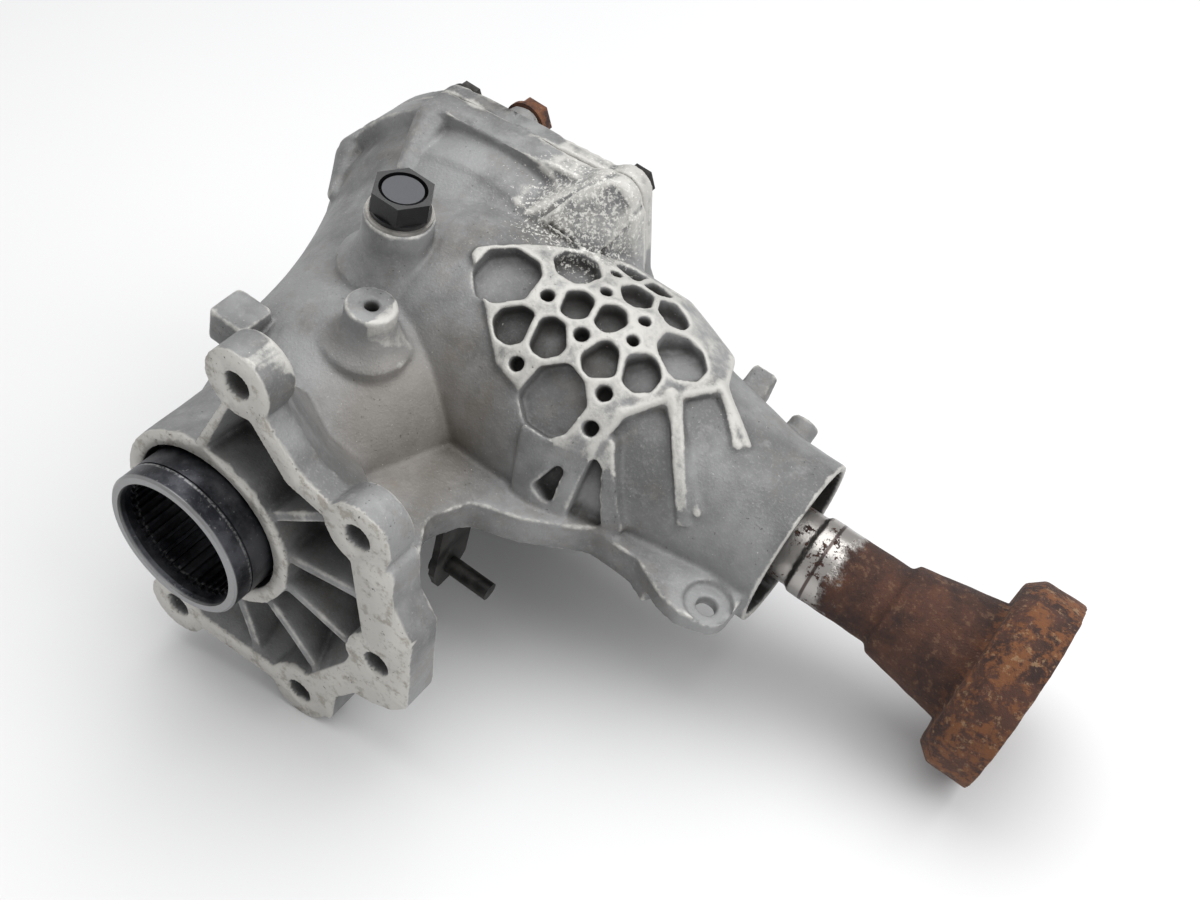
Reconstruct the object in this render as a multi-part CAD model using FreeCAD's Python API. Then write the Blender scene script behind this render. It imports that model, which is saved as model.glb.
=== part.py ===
import FreeCAD, Part
import math
import os

from FreeCAD import Matrix, Placement, Rotation, Vector

# Angle-drive transfer case. Sizes are in millimetres.
# It is drawn about its two shafts: the input axis is +Y through the origin, which lies in the
# face that bolts to the gearbox, and the output axis is +X at OUT_Y and OUT_Z.
# Angles about the input axis run from +X towards +Z, angles about the output axis from +Z towards -Y.
# At the end everything turns by LIE_TILT about the input axis, to lie on its flanges on a level floor.

LIE_TILT = 14.6
OUT_Y = 138.9
OUT_Z = 20.0
RUN = 0.05
FIT = 0.02

# Coupling sleeve and hollow shaft
SLEEVE_R = 32.0
SLEEVE_BORE_R = 27.6
SLEEVE_OUT = 18.0
SLEEVE_IN = 40.0
SLEEVE_GROOVE_Y = -9.5
SPLINE_TEETH = 40
SPLINE_HEIGHT = 1.2
SPLINE_SET_BACK = 6.0
SPLINE_LENGTH = 20.0
TUBE_BORE_R = 20.0
TUBE_R = 30.0
TUBE_START = 10.0
TUBE_STAND = 5.0

# Collar, neck and dome of the main housing, about the input axis
COLLAR_R = 40.5
COLLAR_MOUTH_R = 34.0
COLLAR_LENGTH = 35.0
SEAL_SEAT_R = 36.6
NECK_END = 80.0
NECK_R = 55.5
DOME_R = 78.5
WALL = 6.0

# Joint between main housing and side cover, which lies behind the ring gear's carrier
RING_DEPTH = 37.1
CARRIER_THICK = 6.0
CARRIER_ROOM = 6.0
RING_BACK_Y = OUT_Y + RING_DEPTH
JOINT_Y = RING_BACK_Y + CARRIER_THICK + CARRIER_ROOM
DOME_STEP = JOINT_Y - 31.0
RIM_THICK = 10.0
RIM_R = 86.0
COVER_THICK = 8.0
COVER_BOLT_CIRCLE_R = 86.5
COVER_BOLT_ANGLES = (118.0, 157.0, 205.0, 247.0, 284.6, 322.0, 10.0)
COVER_BOSS_R = 8.6
CORNER_ANGLE = 61.0
CORNER_R = 99.0
CORNER_BOSS_R = 10.5
RIM_BULGE = 8.0
RIM_BULGE_ANGLE = 122.0
COVER_BOLT_R = 3.9
COVER_BOLT_GRIP = 10.0
CAVITY_R = 74.5
HUB_R = 48.0

# Gearbox flange: a dished plate with ears, rims and radial ribs
EAR_CIRCLE_R = 87.0
EAR_ANGLES = (67.5, 22.5, -22.5, -67.5)
LOW_EAR_CIRCLE_R = 76.0
LOW_EAR_ANGLE = -116.0
EAR_R = 14.5
EAR_HOLE_R = 5.5
EAR_SEAT_R = 10.5
EAR_DEPTH = 15.0
DIP_ANGLE = 56.0
DIP_R = 71.0
FLANGE_RIM = 9.0
FLANGE_EDGE = 11.0
DISH_DEPTH = 21.0
DISH_BACK = 44.0
DISH_TAPER = 0.5
FLANGE_RIB = 4.5
FLANGE_RIB_ANGLES = (42.0, 14.0, -12.0, -40.0, -67.0)
FOOT_DEPTH = 17.0

# Output nose of the main housing, about the output axis
BARREL_R = 57.5
BARREL_START = 12.0
BARREL_END = 84.0
NOSE_ROOT_X = 94.0
NOSE_ROOT_R = 51.5
SNOUT_R = 37.3
SNOUT_START = 165.0
SNOUT_END = 185.2
MOUTH_R = 34.4
OUTPUT_SEAL_R = 33.6
OUTPUT_SEAL_X = 158.0
OUTPUT_SEAL_WIDTH = 10.0

# Lattice of ribs over the nose
LATTICE_R = 60.0
LATTICE_DEPTH = 8.5
LATTICE_RIB = 3.0
LATTICE_START = 19.0
LATTICE_FADE_X = 94.0
LATTICE_END = 152.0
LATTICE_END_R = 41.5
POCKET_CORNER = 3.2

# Web between gearbox flange, neck and nose
WEB_TOP = 20.0
WEB_THICK = 16.0
NOSE_EAR = (173.0, 90.0)
NOSE_EAR_HOLE_R = 4.3
NOSE_EAR_FACE_R = 10.0
NOSE_EAR_THICK = 9.0

# Gears: straight-toothed ring and pinion on crossing, offset axes
RING_TEETH = 34
PINION_TEETH = 13
GEAR_INNER = 48.0
GEAR_OUTER = 67.0
GEAR_MEAN = 58.0
ADDENDUM = 0.72
DEDENDUM = 1.08
TOOTH_FILL = 0.9
PRESSURE_ANGLE = 20.0
RING_BORE_R = 45.0
CARRIER_R = 66.0
RING_BOLT_CIRCLE_R = 58.0
RING_BOLTS = 8
RING_BOLT_R = 4.0

# Taper roller bearings: inner radius, outer radius, width
INPUT_BEARING = (27.7, 42.0, 17.0)
COVER_BEARING = (26.5, 40.0, 16.0)
HEAD_BEARING = (19.0, 36.0, 19.0)
TAIL_BEARING = (15.5, 30.0, 16.0)
INPUT_BEARING_Y = 62.0
COVER_BEARING_Y = JOINT_Y - 4.0
HEAD_BEARING_X = 77.0
TAIL_BEARING_X = 134.0
BEARING_ANGLE = 13.0
ROLLER_SHARE = 0.27
ROLLER_SPACING = 2.9
ROLLER_SIDES = 12
CAGE_WALL = 1.4

# Pinion shaft and output flange
PINION_SHOULDER_R = 21.0
PINION_SPLINE_R = 13.0
PINION_THREAD_R = 10.0
PINION_END = 266.0
FLANGE_SEAL_R = 16.2
FLANGE_NECK_R = 17.6
FLANGE_NECK_X = 192.0
FLANGE_STEP_X = 230.5
FLANGE_CONE_R = 20.4
FLANGE_CONE_END_R = 27.0
FLANGE_BACK_X = 268.0
FLANGE_FRONT_X = 291.7
FLANGE_R = 42.3
FLANGE_CHAMFER = 5.2
FLANGE_PILOT_R = 28.0
FLANGE_PILOT_DEPTH = 10.0
FLANGE_COUNTERBORE_R = 18.5
FLANGE_SEAT_X = 252.0
FLANGE_HOLES = 6
FLANGE_HOLE_CIRCLE_R = 35.0
FLANGE_HOLE_R = 4.0
NUT_FLAT_R = 14.5
NUT_THICK = 12.0

# Filler plug, drain plug and bosses
PLUG_AT = (-8.0, 112.0)
PLUG_BOSS_R = 14.5
PLUG_BOSS_TOP = 84.0
BOSS_FLARE = 8.0
PLUG_THREAD_R = 9.0
PLUG_FLAT_R = 11.3
PLUG_DISC_R = 8.3
PLUG_GROOVE_R = 9.7
PLUG_WASHER = 1.5
PLUG_HEAD = 11.0
SENSOR_BOSS_AT = (9.0, 77.0)
SENSOR_BOSS_R = 10.5
SENSOR_BOSS_TOP = 70.0
SENSOR_HOLE_R = 3.0
SENSOR_HOLE_DEPTH = 14.0
SENSOR_HOLE_CHAMFER = 0.6
DRAIN_AT = (-5.0, 172.0)
DRAIN_BOSS_R = 13.0
DRAIN_BOSS_END = -87.0
DRAIN_THREAD_R = 7.0

# Cover details
COVER_SEAL_R = 36.0
COVER_SEAL_WIDTH = 8.0
HUB_END = COVER_BEARING_Y + COVER_BEARING[2] + COVER_SEAL_WIDTH + 1.0
TUBE_END = HUB_END + TUBE_STAND
SPIGOT_R = 74.35
SPIGOT_WALL = 6.0
SPIGOT_LENGTH = 6.0
RING_CORD_R = 1.3
COVER_RIBS = 8
DOWEL_R = 3.0
DOWEL_CIRCLE_R = 80.5
DOWEL_ANGLES = (36.0, 222.0)
BOSS_BOLT_ANGLE = 101.0
BOSS_BOLT_CIRCLE_R = 76.0
BOSS_BOLT_LIFT = 11.0

# Bracket under the web, with its stud and bolt
BRACKET_X = 72.0
BRACKET_PLATE = 3.0
BRACKET_DROP = 44.0
STUD_AT = (67.0, -29.0)
STUD_R = 4.0
STUD_KNURL_R = 4.7
STUD_LENGTH = 21.0


def axes(origin, along, across):
    """Placement whose local z runs along, and whose local x runs across."""
    z = Vector(along).normalize()
    x = Vector(across).normalize()
    y = z.cross(x)
    return Placement(Matrix(x.x, y.x, z.x, origin.x,
                            x.y, y.y, z.y, origin.y,
                            x.z, y.z, z.z, origin.z,
                            0, 0, 0, 1))


X, Y, Z = Vector(1, 0, 0), Vector(0, 1, 0), Vector(0, 0, 1)
INPUT = axes(Vector(0, 0, 0), Y, X)
OUTPUT = axes(Vector(0, OUT_Y, OUT_Z), X, Z)


def put(shape, place):
    moved = shape.copy()
    moved.Placement = place.multiply(shape.Placement)
    return moved


def turned(profile, place):
    """Solid of revolution from points of (distance along the axis, radius).
    A third number bows the line to the next point outwards by that much."""
    points = [Vector(point[1], 0, point[0]) for point in profile]
    edges = []
    for i, point in enumerate(profile):
        start, end = points[i], points[(i + 1) % len(points)]
        if len(point) == 3:
            out = Vector(end.z - start.z, 0, start.x - end.x).normalize()
            middle = (start + end) / 2 + out * point[2]
            edges.append(Part.Arc(start, middle, end).toShape())
        else:
            edges.append(Part.LineSegment(start, end).toShape())
    face = Part.Face(Part.Wire(edges))
    return put(face.revolve(Vector(0, 0, 0), Z, 360), place)


def disc(place, radius, start, end):
    return put(Part.makeCylinder(radius, end - start, Vector(0, 0, start)), place)


def tube(place, outer, inner, start, end):
    return turned([(start, inner), (start, outer), (end, outer), (end, inner)], place)


def prism(points, place, start, end):
    """Prism between two heights on a closed outline of (x, y) points."""
    outline = [Vector(x, y, start) for x, y in points]
    face = Part.Face(Part.makePolygon(outline + outline[:1]))
    return put(face.extrude(Vector(0, 0, end - start)), place)


def rounded(points, radius):
    """Closed wire on a convex or concave outline with its corners rounded as far as they allow."""
    corners = []
    count = len(points)
    for i in range(count):
        before, at, after = (Vector(*points[j % count], 0) for j in (i - 1, i, i + 1))
        back, ahead = before - at, after - at
        reach = 0.42 * min(back.Length, ahead.Length)
        half = back.getAngle(ahead) / 2
        cut = min(reach, radius / math.tan(half))
        middle = back.normalize() + ahead.normalize()
        depth = cut / math.cos(half) - cut * math.tan(half)
        corners.append((at + back * cut, at + middle.normalize() * depth, at + ahead * cut))
    edges = []
    for i, (start, top, end) in enumerate(corners):
        edges.append(Part.Arc(start, top, end).toShape())
        edges.append(Part.LineSegment(end, corners[(i + 1) % count][0]).toShape())
    return Part.Wire(edges)


def rounded_prism(points, radius, place, start, end):
    face = Part.Face(rounded(points, radius))
    face.translate(Vector(0, 0, start))
    return put(face.extrude(Vector(0, 0, end - start)), place)


def hexagon(place, flat_r, start, end):
    corner = flat_r / math.cos(math.pi / 6)
    points = [(corner * math.cos(math.radians(60 * i)), corner * math.sin(math.radians(60 * i)))
              for i in range(6)]
    return prism(points, place, start, end)


def band(place, one, other, width, start, end):
    """Bar with round ends between two points."""
    run = Vector(*other, 0) - Vector(*one, 0)
    side = Vector(-run.y, run.x, 0).normalize() * width / 2
    a, b = Vector(*one, 0), Vector(*other, 0)
    points = [a + side, a - side, b - side, b + side]
    bar = prism([(p.x, p.y) for p in points], place, start, end)
    ends = [put(Part.makeCylinder(width / 2, end - start, Vector(*p, start)), place) for p in (one, other)]
    return bar.fuse(ends)


def join(shapes):
    shapes = list(shapes)
    return shapes[0].fuse(shapes[1:]).removeSplitter() if len(shapes) > 1 else shapes[0]


def around(angle, radius):
    """Point about the input axis, in the outline coordinates of INPUT (x, and y pointing down)."""
    turn = math.radians(angle)
    return radius * math.cos(turn), -radius * math.sin(turn)


def spaced(shape, count, place):
    """Copies of a shape at even angles about an axis."""
    axis = place.Rotation.multVec(Z)
    copies = []
    for i in range(count):
        copy = shape.copy()
        copy.rotate(place.Base, axis, 360.0 * i / count)
        copies.append(copy)
    return copies


def ear_points():
    """Centres of the gearbox flange ears, from the top one round to the low one."""
    points = [around(angle + LIE_TILT, EAR_CIRCLE_R) for angle in EAR_ANGLES]
    return points + [around(LOW_EAR_ANGLE + LIE_TILT, LOW_EAR_CIRCLE_R)]


def cover_bolt_points():
    return ([around(angle, COVER_BOLT_CIRCLE_R) for angle in COVER_BOLT_ANGLES]
            + [around(CORNER_ANGLE, CORNER_R)])


# Lattice. Each cell is (distance along the output axis, angle about it, half width); the ribs
# run midway between neighbouring cells. Drilled cells are small round holes at the rib crossings.
POCKETS = ((39, 16, 12), (57, -7, 9), (72, -27, 6.5), (84, -27, 6), (69, 10, 6.5), (54, 31, 7.5),
           (68, 28, 7.5), (82, 7, 6.5), (83, -12, 7), (97, -17, 7), (91, 24, 7.5), (104, 18, 7.5),
           (112, -2, 9.5), (84, 46, 13))
DRILLED = ((57, 14, 2.8), (64, 43, 3), (78, 20, 3), (73, -3, 2.5), (69, -17, 2.6), (93, -1, 2.6),
           (95, 10, 2.6), (99, 34, 3.2), (102, 48, 3.2), (90, -37, 2.4))
LATTICE_OUTLINE = ((19, 15), (57, 47), (70, 50), (106, 55), (108, 36), (120, 17), (132, -7),
                   (124, -32), (100, -50), (62, -50), (60, -28), (38, -5))
WEB_OUTLINE = ((78, 60), (104, 50), (112, 50), (130, 82), (127, 97), (86, 97))
WEB_GAPS = (((92, 81), (101, 60), (101, 87)), ((108, 58), (108, 89), (122, 86), (113, 62)))
RUNNING_RIBS = (((119, 17), (149, 57)), ((131, -6), (149, 9)))
WEB_GAP_DEPTH = 16.0


def on_nose(x, angle, radius):
    """Placement on the nose, local z pointing out and local x along the output axis."""
    turn = math.radians(angle)
    out = Vector(0, -math.sin(turn), math.cos(turn))
    return axes(Vector(x, OUT_Y, OUT_Z) + out * radius, out, X)


def flat_on_nose(outline, x, angle):
    """Outline of (x, angle) points seen square on from a point of the nose."""
    points = []
    for at, turn in outline:
        aside = LATTICE_R * math.sin(math.radians(turn - angle))
        points.append((at - x, -aside))
    return points


def clipped(polygon, nx, ny, limit):
    """Part of a convex polygon where nx * x + ny * y is under the limit."""
    kept = []
    for i, (bx, by) in enumerate(polygon):
        ax, ay = polygon[i - 1]
        before = nx * ax + ny * ay - limit
        here = nx * bx + ny * by - limit
        if before * here < 0:
            share = before / (before - here)
            kept.append((ax + share * (bx - ax), ay + share * (by - ay)))
        if here <= 0:
            kept.append((bx, by))
    return kept


def lattice_radius(x):
    """Radius of the rib tops, which fade into the nose."""
    fade = max(0.0, x - LATTICE_FADE_X) / (LATTICE_END - LATTICE_FADE_X)
    return LATTICE_R + fade * (LATTICE_END_R - LATTICE_R)


def cell_outline(cell, cells):
    """Outline of a pocket, half a rib short of the line between it and each neighbour."""
    x, angle, size = cell
    reach = 1.2 * size
    outline = [(reach * math.cos(math.radians(45 * i + 22.5)), reach * math.sin(math.radians(45 * i + 22.5)))
               for i in range(8)]
    for other_x, other_angle, other_size in cells:
        across = -lattice_radius(x) * math.radians(other_angle - angle)
        along = other_x - x
        apart = math.hypot(along, across)
        if apart == 0 or apart > 3 * (size + other_size):
            continue
        limit = (apart ** 2 + size ** 2 - other_size ** 2) / (2 * apart) - LATTICE_RIB / 2
        outline = clipped(outline, along / apart, across / apart, limit)
    return outline


def lattice_pockets():
    cells = POCKETS + DRILLED
    height = LATTICE_DEPTH + 6
    cuts = []
    for cell in POCKETS:
        x, angle, size = cell
        outline = cell_outline(cell, cells)
        clear = [p for i, p in enumerate(outline) if math.dist(p, outline[i - 1]) > 0.8]
        place = on_nose(x, angle, lattice_radius(x) - LATTICE_DEPTH)
        cuts.append(rounded_prism(clear, POCKET_CORNER, place, 0, height))
    for x, angle, size in DRILLED:
        cuts.append(disc(on_nose(x, angle, lattice_radius(x) - LATTICE_DEPTH), size, 0, height))
    return cuts


def web_gaps():
    """Open windows between the fins that stand on the web."""
    cuts = []
    for outline in WEB_GAPS:
        x = sum(p[0] for p in outline) / len(outline)
        angle = sum(p[1] for p in outline) / len(outline)
        points = flat_on_nose(outline, x, angle)
        cuts.append(rounded_prism(points, 2, on_nose(x, angle, LATTICE_R), -WEB_GAP_DEPTH, 5))
    return cuts


def nose_lattice():
    """Raised ribs over the nose: plate, web and running ribs cut from one tapering shell."""
    shell = turned([(LATTICE_START, NOSE_ROOT_R - 8), (LATTICE_START, LATTICE_R), (LATTICE_FADE_X, LATTICE_R),
                    (LATTICE_END, LATTICE_END_R), (LATTICE_END, SNOUT_R)], OUTPUT)
    deep = 24.0
    plate = rounded_prism(flat_on_nose(LATTICE_OUTLINE, 80, 3), 4, on_nose(80, 3, 0), 0, LATTICE_R + 5)
    web = rounded_prism(flat_on_nose(WEB_OUTLINE, 100, 74), 3, on_nose(100, 74, LATTICE_R), -deep, 5)
    ribs = []
    for (x1, angle1), (x2, angle2) in RUNNING_RIBS:
        x, angle = (x1 + x2) / 2, (angle1 + angle2) / 2
        ends = flat_on_nose(((x1, angle1), (x2, angle2)), x, angle)
        ribs.append(band(on_nose(x, angle, LATTICE_R), ends[0], ends[1], 5.0, -deep, 5))
    return shell.common(join([plate, web.cut(web_gaps())] + ribs))


def neck_profile():
    """Outside of the housing about the input axis: collar, flared neck, dome, step and rim."""
    sag = 3.5
    return [(0, 0), (0, COLLAR_R), (COLLAR_LENGTH, COLLAR_R), (NECK_END, NECK_R, -sag),
            (DOME_STEP, DOME_R), (DOME_STEP + 2, DOME_R + 2), (JOINT_Y - RIM_THICK, RIM_R - 1),
            (JOINT_Y - RIM_THICK, RIM_R), (JOINT_Y, RIM_R), (JOINT_Y, 0)]


def input_cavity():
    bore, cup, width = INPUT_BEARING
    seat = INPUT_BEARING_Y
    opens = seat + width + 25
    share = (opens - NECK_END) / (DOME_STEP - NECK_END)
    open_r = NECK_R + share * (DOME_R - NECK_R) - 1.7 * WALL
    return turned([(-1, 0), (-1, COLLAR_MOUTH_R), (9, COLLAR_MOUTH_R), (9, SEAL_SEAT_R), (seat, SEAL_SEAT_R),
                   (seat, cup + FIT), (seat + width + 4, cup + FIT), (opens, open_r), (DOME_STEP, CAVITY_R),
                   (JOINT_Y + 1, CAVITY_R), (JOINT_Y + 1, 0)], INPUT)


def output_cavity():
    head, tail = HEAD_BEARING[1] + FIT, TAIL_BEARING[1] + FIT
    head_end = HEAD_BEARING_X + HEAD_BEARING[2]
    seal_end = OUTPUT_SEAL_X + OUTPUT_SEAL_WIDTH + 1
    return turned([(32, 0), (32, head), (head_end, head), (head_end, head - 8), (TAIL_BEARING_X, tail - 3),
                   (TAIL_BEARING_X, tail), (OUTPUT_SEAL_X, tail), (OUTPUT_SEAL_X, OUTPUT_SEAL_R),
                   (seal_end, OUTPUT_SEAL_R), (seal_end, MOUTH_R), (SNOUT_END + 1, MOUTH_R), (SNOUT_END + 1, 0)],
                  OUTPUT)


def dish(outset, start, end, back_share):
    """Solid on the flange outline, moved out from the axis by outset, that tapers towards the axis."""
    corners = [around(98, 38), around(DIP_ANGLE, DIP_R), around(-114, 38)]
    centres = ear_points()
    outline = [corners[0], centres[0], corners[1]] + centres[1:] + [corners[2]]
    near = []
    for x, y in outline:
        grow = (math.hypot(x, y) + outset) / math.hypot(x, y)
        near.append(Vector(x * grow, y * grow, start))
    far = [Vector(p.x * back_share, p.y * back_share, end) for p in near]
    return put(solid_between(near, far), INPUT)


def gearbox_flange():
    """Dished flange: a rim with ears, a tapering skin behind it and radial ribs inside."""
    ears = ear_points()
    rim = FLANGE_RIM / 2
    skin = [dish(rim, 0, FLANGE_EDGE, 1), dish(rim, FLANGE_EDGE, DISH_BACK, DISH_TAPER),
            disc(INPUT, COLLAR_R, 0, DISH_BACK)]
    bosses = [put(Part.makeCylinder(EAR_R, EAR_DEPTH, Vector(x, y, 0)), INPUT) for x, y in ears]
    foot = [(86, -45), (89, -26), (99, -14), (103, 26), (97, 34), (87, 39), (79, 41), (70, 55), (70, 74),
            (60, 72), (68, 40), (78, 4), (76, -44)]
    block = rounded_prism(foot, 3, INPUT, 0, FOOT_DEPTH)
    ribs = [disc(INPUT, COLLAR_R, -2, DISH_BACK)]
    for angle in FLANGE_RIB_ANGLES:
        ribs.append(band(INPUT, around(angle, COLLAR_R - 5), around(angle, 84), FLANGE_RIB, 1.5, DISH_DEPTH + 1))
    hollow = dish(-rim, -1, DISH_DEPTH, 0.86).cut(ribs + bosses + [block])
    return join(skin + bosses + [block]).cut(hollow)


def ear_holes():
    cuts = []
    for x, y in ear_points():
        cuts.append(put(Part.makeCylinder(EAR_HOLE_R, DISH_BACK, Vector(x, y, -1)), INPUT))
        cuts.append(put(Part.makeCone(EAR_HOLE_R + 1.2, EAR_HOLE_R, 1.2, Vector(x, y, 0)), INPUT))
        cuts.append(put(Part.makeCylinder(EAR_SEAT_R, DISH_BACK, Vector(x, y, EAR_DEPTH)), INPUT))
    return cuts


def web_plate():
    """Flat web that ties the gearbox flange and the neck to the nose, and ends in the nose ear."""
    x, y = NOSE_EAR
    outline = [(30, 24), (82, 24), (69, 46), (77, 64), (96, 71), (121, 87), (141, 87), (157, 79),
               (x - 6, y - 13), (x + 10, y - 7), (x + 10, y + 12), (150, 125), (60, 120)]
    web = rounded_prism(outline, 9, Placement(), WEB_TOP - WEB_THICK, WEB_TOP)
    under = [(x - 40, y - 40), (x + 20, y - 40), (x + 20, y + 12), (x - 12, y + 12)]
    return web.cut(rounded_prism(under, 6, Placement(), 0, WEB_TOP - NOSE_EAR_THICK))


def cover_rim(start, end):
    """Bolt bosses of the joint between housing and cover."""
    bosses = [put(Part.makeCylinder(COVER_BOSS_R, end - start, Vector(x, y, start)), INPUT)
              for x, y in cover_bolt_points()[:-1]]
    inner = around(CORNER_ANGLE, RIM_R - 8)
    bosses.append(band(INPUT, inner, around(CORNER_ANGLE, CORNER_R), 2 * CORNER_BOSS_R, start, end))
    bulge_x, bulge_y = around(RIM_BULGE_ANGLE, RIM_BULGE)
    bosses.append(put(Part.makeCylinder(RIM_R - 1.5, end - start, Vector(bulge_x, bulge_y, start)), INPUT))
    return bosses


def boss_up(x, y, radius, bottom, top):
    return Part.makeCylinder(radius, top - bottom, Vector(x, y, bottom))


def flared_boss(x, y, radius, bottom, top):
    """Upright boss whose foot flares into the casting."""
    middle = bottom + 0.6 * (top - bottom)
    return turned([(0, 0), (0, radius + BOSS_FLARE), (bottom, radius + BOSS_FLARE, -1.8), (middle, radius),
                   (top, radius), (top, 0)], Placement(Vector(x, y, 0), Rotation()))


def side_lugs():
    """Square lug on the neck, and a tab and a round boss on the far side of the nose."""
    square = rounded_prism([(-46, 47), (-46, 65), (-28, 65), (-28, 47)], 2, Placement(), 32, 48)
    tab_place = on_nose(134, -68, 30)
    tab = rounded_prism([(-6, -7), (6, -7), (6, 7), (-6, 7)], 2, tab_place, 8, 27)
    stub = disc(on_nose(160, -64, 30), 6.5, 0, 16)
    return [square, tab, stub]


def corner_fairing():
    """Thick shoulder that carries the corner boss down to the dome."""
    place = INPUT
    low = around(CORNER_ANGLE, 70)
    return band(place, low, around(CORNER_ANGLE, CORNER_R - 4), 24, JOINT_Y - 30, JOINT_Y)


def vent_hole():
    """Drilled hole in the sensor boss, chamfered at its mouth."""
    x, y = SENSOR_BOSS_AT
    bottom, mouth = SENSOR_BOSS_TOP - SENSOR_HOLE_DEPTH, SENSOR_BOSS_TOP - SENSOR_HOLE_CHAMFER
    wide = SENSOR_HOLE_R + SENSOR_HOLE_CHAMFER
    return turned([(bottom, 0), (bottom, SENSOR_HOLE_R), (mouth, SENSOR_HOLE_R), (SENSOR_BOSS_TOP, wide),
                   (SENSOR_BOSS_TOP + 1, wide), (SENSOR_BOSS_TOP + 1, 0)], Placement(Vector(x, y, 0), Rotation()))


def main_housing():
    barrel = turned([(-25, 0), (-25, 44, 2.5), (BARREL_START, BARREL_R), (BARREL_END, BARREL_R),
                     (NOSE_ROOT_X, NOSE_ROOT_R), (SNOUT_START, SNOUT_R), (SNOUT_END, SNOUT_R), (SNOUT_END, 0)],
                    OUTPUT)
    plug_x, plug_y = PLUG_AT
    sensor_x, sensor_y = SENSOR_BOSS_AT
    x, y = NOSE_EAR
    solids = [turned(neck_profile(), INPUT), barrel, gearbox_flange(), web_plate(), nose_lattice(),
              flared_boss(plug_x, plug_y, PLUG_BOSS_R, 58, PLUG_BOSS_TOP),
              flared_boss(sensor_x, sensor_y, SENSOR_BOSS_R, 51, SENSOR_BOSS_TOP), corner_fairing(),
              disc(drain_place(), DRAIN_BOSS_R, -24, 0)]
    body = join(solids + cover_rim(JOINT_Y - RIM_THICK - 4, JOINT_Y) + side_lugs())
    cuts = [input_cavity(), output_cavity(), disc(INPUT, 2 * CORNER_R, JOINT_Y, JOINT_Y + BARREL_R),
            boss_up(plug_x, plug_y, PLUG_THREAD_R + FIT, 30, PLUG_BOSS_TOP + 1),
            boss_up(x, y, NOSE_EAR_HOLE_R, 0, WEB_TOP + 1),
            boss_up(x, y, NOSE_EAR_FACE_R, WEB_TOP - 3, WEB_TOP + 1), vent_hole()]
    for bolt_x, bolt_y in cover_bolt_points():
        cuts.append(disc(along_input(bolt_x, bolt_y, JOINT_Y), COVER_BOLT_R + FIT, -COVER_BOLT_GRIP - 1, 1))
    cuts.append(disc(drain_place(), DRAIN_THREAD_R + FIT, -30, 1))
    cuts.append(boss_up(BRACKET_X - 10, STUD_AT[0], 3.2 + FIT, 0, WEB_TOP - 5))
    return body.cut(cuts + dowels(FIT) + ear_holes() + lattice_pockets())


def side_cover():
    bore, cup, width = COVER_BEARING
    inside, outside = JOINT_Y, JOINT_Y + COVER_THICK
    seat = COVER_BEARING_Y
    plate = turned([(seat, 0), (seat, HUB_R - 2), (inside - 1, HUB_R), (inside, SPIGOT_R - SPIGOT_WALL),
                    (inside - SPIGOT_LENGTH, SPIGOT_R - SPIGOT_WALL), (inside - SPIGOT_LENGTH, SPIGOT_R),
                    (inside, SPIGOT_R), (inside, RIM_R), (outside, RIM_R), (outside, HUB_R + 6),
                    (HUB_END, HUB_R - 4), (HUB_END, 0)], INPUT)
    ribs = []
    for i in range(COVER_RIBS):
        angle = 360 * (i + 0.5) / COVER_RIBS
        ribs.append(band(INPUT, around(angle, HUB_R - 6), around(angle, RIM_R - 12), 4.5, outside - 2, outside + 6))
    boss_x, boss_y = around(BOSS_BOLT_ANGLE, BOSS_BOLT_CIRCLE_R)
    boss = put(Part.makeCylinder(9, BOSS_BOLT_LIFT + 2, Vector(boss_x, boss_y, outside - 2)), INPUT)
    body = join([plate, boss] + ribs + cover_rim(inside, outside))
    groove = inside - SPIGOT_LENGTH / 2
    cuts = [turned([(seat - 1, 0), (seat - 1, cup + FIT), (seat + width, cup + FIT), (seat + width, COVER_SEAL_R),
                    (HUB_END + 1, COVER_SEAL_R), (HUB_END + 1, 0)], INPUT),
            tube(INPUT, SPIGOT_R + 1, SPIGOT_R - 2.7, groove - 1.4, groove + 1.4),
            put(Part.makeCylinder(COVER_BOLT_R + 1 + FIT, 20, Vector(boss_x, boss_y, outside + BOSS_BOLT_LIFT - 15)),
                INPUT)]
    for x, y in cover_bolt_points():
        cuts.append(put(Part.makeCylinder(COVER_BOLT_R + 0.3, COVER_THICK + 2, Vector(x, y, inside - 1)), INPUT))
    cuts += dowels(FIT)
    return body.cut(cuts)


def dowels(clearance=0.0):
    length = 12.0 + 2 * clearance
    pins = []
    for angle in DOWEL_ANGLES:
        x, y = around(angle, DOWEL_CIRCLE_R)
        pins.append(put(Part.makeCylinder(DOWEL_R + clearance, length, Vector(x, y, JOINT_Y - length / 2)), INPUT))
    return pins


def flanged_bolt(place, shank_r, length, head):
    """Hex bolt with a flange, its seat at height 0 and its shank pointing down."""
    flat = 1.65 * shank_r
    return join([disc(place, shank_r, -length, 0), disc(place, flat * 1.25, 0, head / 4),
                 hexagon(place, flat, head / 4, head)])


def along_input(x, y, height):
    return INPUT.multiply(Placement(Vector(x, y, height), Rotation()))


def cover_bolts():
    seat = JOINT_Y + COVER_THICK
    return Part.makeCompound([flanged_bolt(along_input(x, y, seat), COVER_BOLT_R, COVER_THICK + COVER_BOLT_GRIP, 6)
                              for x, y in cover_bolt_points()])


def cover_boss_bolt():
    x, y = around(BOSS_BOLT_ANGLE, BOSS_BOLT_CIRCLE_R)
    seat = JOINT_Y + COVER_THICK + BOSS_BOLT_LIFT
    return flanged_bolt(along_input(x, y, seat), COVER_BOLT_R + 1, 13, 8)


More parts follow.
